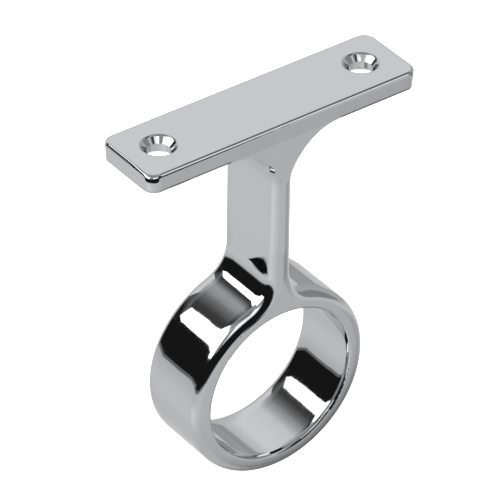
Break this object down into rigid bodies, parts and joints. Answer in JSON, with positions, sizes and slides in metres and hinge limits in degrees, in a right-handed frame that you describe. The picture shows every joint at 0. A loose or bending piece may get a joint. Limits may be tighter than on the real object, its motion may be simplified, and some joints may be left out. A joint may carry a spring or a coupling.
{
  "type": "tube centre support",
  "caption": "Polished cast bracket: a flat screw plate with countersunk holes, a stem that flares into it, and a closed ring that carries a clothes tube at mid-span.",
  "frame": {"origin": "centre of the screw plate's flat top face, midway between the screw holes and on the stem's centre line", "axes": "+Z out of the plate's top face, away from the ring; X along the plate through both screw holes; Y along the axis of the ring's bore, with -Y towards the well rounded front side"},
  "size_m": [0.0478, 0.0124, 0.0623],
  "materials": {
    "chrome": "bright chrome plating, mirror polished, over cast zinc"
  },
  "bodies": {
    "root": {"tube_support": "chrome"}
  },
  "joints": []
}
